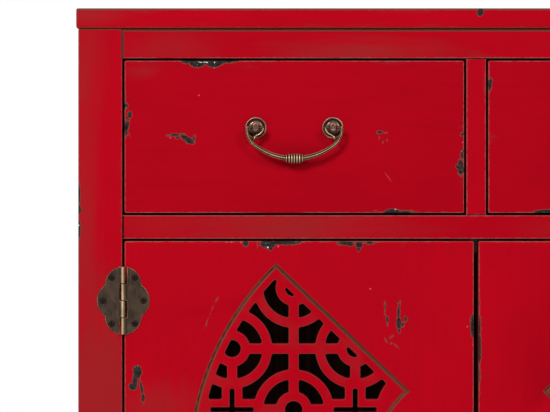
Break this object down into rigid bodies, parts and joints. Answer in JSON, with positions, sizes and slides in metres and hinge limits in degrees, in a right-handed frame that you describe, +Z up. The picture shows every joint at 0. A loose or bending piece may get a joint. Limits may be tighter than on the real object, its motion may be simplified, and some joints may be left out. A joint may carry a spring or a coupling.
{
  "type": "entryway cabinet",
  "caption": "Red lacquered entryway cabinet on square legs: sliding drawers with bail pulls above hinged doors that carry pierced fan-shaped lattice panels, with a shelf inside.",
  "frame": {"origin": "on the floor, under the middle of the box that holds the cabinet with its drawer pulls", "axes": "+X to the right seen from the front, +Y towards the back, +Z up"},
  "size_m": [0.8, 0.365, 0.82],
  "materials": {
    "red_lacquer": "worn satin red lacquer with brown and dark edges",
    "bare_wood": "bare oiled timber",
    "aged_bronze": "dark aged bronze, rubbed bright on the raised parts",
    "steel": "plain steel",
    "catch_plastic": "brown moulded plastic"
  },
  "bodies": {
    "case": {"top_board": "red_lacquer", "front_left_post": "red_lacquer", "front_right_post": "red_lacquer", "back_left_post": "red_lacquer", "back_right_post": "red_lacquer", "front_top_rail": "red_lacquer", "front_mid_rail": "red_lacquer", "front_bottom_rail": "red_lacquer", "drawer_muntin": "red_lacquer", "back_rails": "red_lacquer", "side_rails": "red_lacquer", "left_side_panel": "red_lacquer", "right_side_panel": "red_lacquer", "back_panel": "bare_wood", "bottom_board": "bare_wood", "shelf": "bare_wood", "shelf_cleats": "bare_wood", "outer_drawer_runners": "bare_wood", "centre_drawer_runner": "bare_wood", "drawer_stops": "bare_wood", "front_apron": "red_lacquer", "side_aprons": "red_lacquer", "magnet_catch": "catch_plastic", "post_hinge_leaves": "aged_bronze", "hinge_pins": "aged_bronze", "post_hinge_screws": "aged_bronze"},
    "left_drawer": {"left_drawer_front": "red_lacquer", "left_drawer_sides": "bare_wood", "left_drawer_back": "bare_wood", "left_drawer_bottom": "bare_wood", "left_drawer_roses": "aged_bronze", "left_drawer_eye_posts": "aged_bronze", "left_drawer_nuts": "steel"},
    "left_bail": {"left_drawer_bail": "aged_bronze"},
    "left_door": {"left_door_leaf": "red_lacquer", "left_door_fan_panel": "red_lacquer", "left_door_hinge_leaves": "aged_bronze", "left_door_hinge_screws": "aged_bronze", "left_door_strike": "steel", "left_door_rose": "aged_bronze", "left_door_eye_post": "aged_bronze", "left_door_nut": "steel"},
    "left_ring": {"left_door_ring": "aged_bronze"},
    "right_drawer": {"right_drawer_front": "red_lacquer", "right_drawer_sides": "bare_wood", "right_drawer_back": "bare_wood", "right_drawer_bottom": "bare_wood", "right_drawer_roses": "aged_bronze", "right_drawer_eye_posts": "aged_bronze", "right_drawer_nuts": "steel"},
    "right_bail": {"right_drawer_bail": "aged_bronze"},
    "right_door": {"right_door_leaf": "red_lacquer", "right_door_fan_panel": "red_lacquer", "right_door_hinge_leaves": "aged_bronze", "right_door_hinge_screws": "aged_bronze", "right_door_strike": "steel", "right_door_rose": "aged_bronze", "right_door_eye_post": "aged_bronze", "right_door_nut": "steel"},
    "right_ring": {"right_door_ring": "aged_bronze"}
  },
  "joints": [
    {"name": "left_drawer_slide", "type": "slide", "parent": "case", "child": "left_drawer", "axis": [0, -1, 0], "range_m": [0, 0.24]},
    {"name": "left_bail_swing", "type": "hinge", "parent": "left_drawer", "child": "left_bail", "pos_m": [-0.1819, -0.1775, 0.7005], "axis": [-1, 0, 0], "range_deg": [-12, 192]},
    {"name": "left_door_hinge", "type": "hinge", "parent": "case", "child": "left_door", "pos_m": [-0.35285, -0.1675, 0.3575], "axis": [0, 0, -1], "range_deg": [0, 165]},
    {"name": "left_ring_swing", "type": "hinge", "parent": "left_door", "child": "left_ring", "pos_m": [-0.0304, -0.1775, 0.3735], "axis": [-1, 0, 0], "range_deg": [-18, 198]},
    {"name": "right_drawer_slide", "type": "slide", "parent": "case", "child": "right_drawer", "axis": [0, -1, 0], "range_m": [0, 0.24]},
    {"name": "right_bail_swing", "type": "hinge", "parent": "right_drawer", "child": "right_bail", "pos_m": [0.1819, -0.1775, 0.7005], "axis": [-1, 0, 0], "range_deg": [-12, 192]},
    {"name": "right_door_hinge", "type": "hinge", "parent": "case", "child": "right_door", "pos_m": [0.35285, -0.1675, 0.3575], "axis": [0, 0, 1], "range_deg": [0, 165]},
    {"name": "right_ring_swing", "type": "hinge", "parent": "right_door", "child": "right_ring", "pos_m": [0.0304, -0.1775, 0.3735], "axis": [-1, 0, 0], "range_deg": [-18, 198]}
  ]
}
